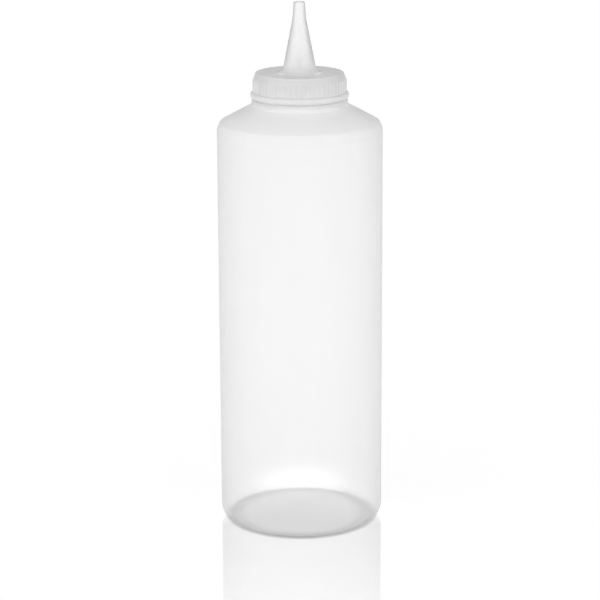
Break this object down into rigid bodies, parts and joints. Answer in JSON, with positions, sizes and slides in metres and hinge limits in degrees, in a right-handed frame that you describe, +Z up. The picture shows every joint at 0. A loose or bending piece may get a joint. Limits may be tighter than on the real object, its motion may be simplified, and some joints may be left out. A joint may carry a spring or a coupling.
{
  "type": "condiment squeeze bottle",
  "caption": "Tall translucent squeeze bottle with a conical shoulder, a ribbed screw cap and an open cone tip, for dispensing sauces by hand.",
  "frame": {"origin": "centre of the ring that the bottle stands on", "axes": "+Z up along the bottle's axis, towards the tip; -Y towards the viewer"},
  "size_m": [0.072, 0.072, 0.2315],
  "materials": {
    "bottle_plastic": "frosted translucent natural polyethylene, faint satin gloss",
    "seal_foam": "fine closed-cell polyethylene foam",
    "cap_plastic": "translucent natural moulded polyethylene, satin"
  },
  "bodies": {
    "bottle": {"bottle": "bottle_plastic"},
    "seal": {"sealing_ring": "seal_foam"},
    "cap": {"cone_tip_cap": "cap_plastic"}
  },
  "joints": [
    {"name": "cap_rise", "type": "slide", "parent": "bottle", "child": "seal", "axis": [0, 0, 1], "range_m": [0, 0.00952]},
    {"name": "cap_turn", "type": "hinge", "parent": "seal", "child": "cap", "pos_m": [0, 0, 0.195], "axis": [0, 0, 1], "range_deg": [0, 810]}
  ],
  "couplings": [
    {"joint": "cap_turn", "follows": "cap_rise", "rad_per_m": 1484.3}
  ]
}
